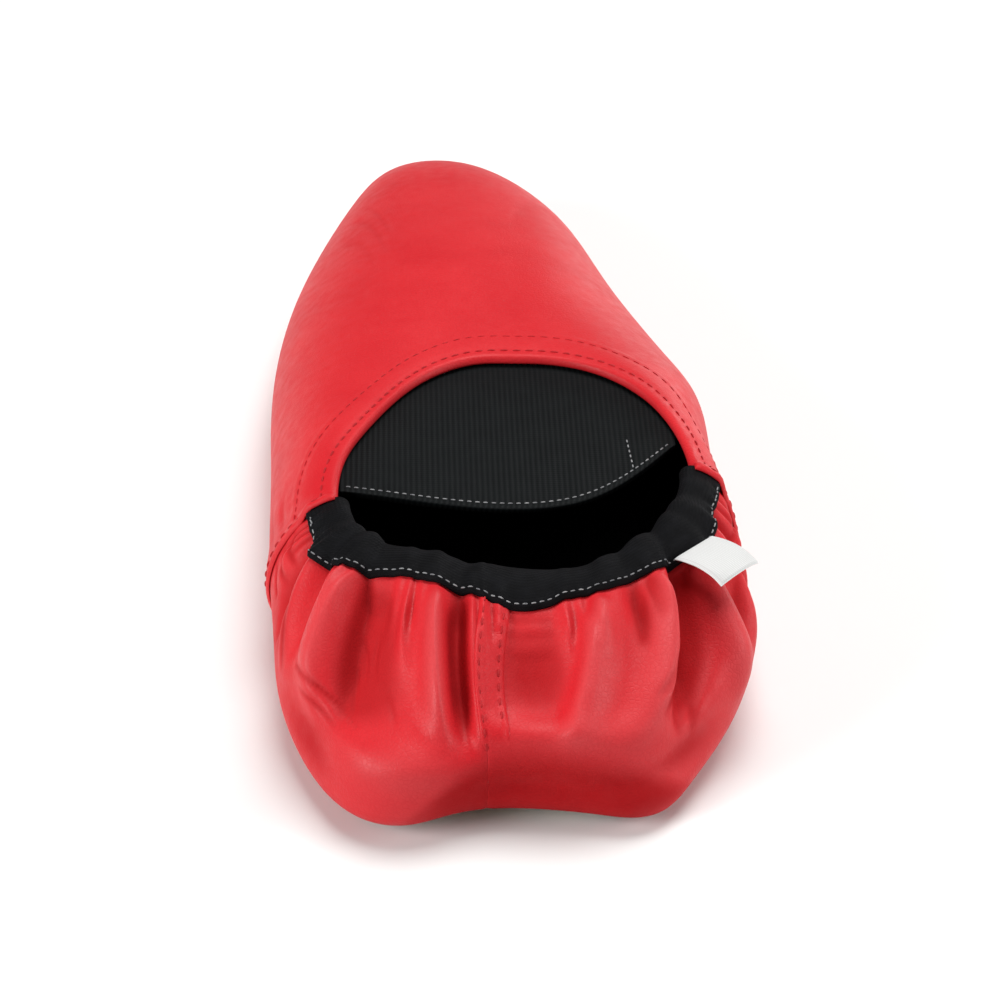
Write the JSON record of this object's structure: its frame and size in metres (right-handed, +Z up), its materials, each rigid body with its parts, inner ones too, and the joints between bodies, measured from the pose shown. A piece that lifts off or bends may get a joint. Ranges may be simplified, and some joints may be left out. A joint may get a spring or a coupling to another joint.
{
  "type": "gymnastics shoe",
  "caption": "Soft slip-on gymnastics shoe: smooth leather vamp, gathered heel quarters, elastic collar binding and instep gusset, thin full sole.",
  "frame": {"origin": "middle of the shoe's plan, on the plane of the heel's and the forefoot's flat spots", "axes": "+Y towards the toe, +X towards the outer side, +Z up"},
  "size_m": [0.0875, 0.215, 0.0348],
  "materials": {
    "red_leather": "soft satin nappa with fine grain",
    "suede": "matt suede",
    "black_textile": "matt woven sock",
    "black_elastic": "fine ribbed elastic",
    "black_binding": "matt elastic tape",
    "white_label": "plain woven tape"
  },
  "bodies": {
    "root": {"outsole": "suede", "insole": "black_textile", "upper": "red_leather", "elastic_gusset": "black_elastic", "collar_binding": "black_binding", "label_tab": "white_label"}
  },
  "joints": []
}
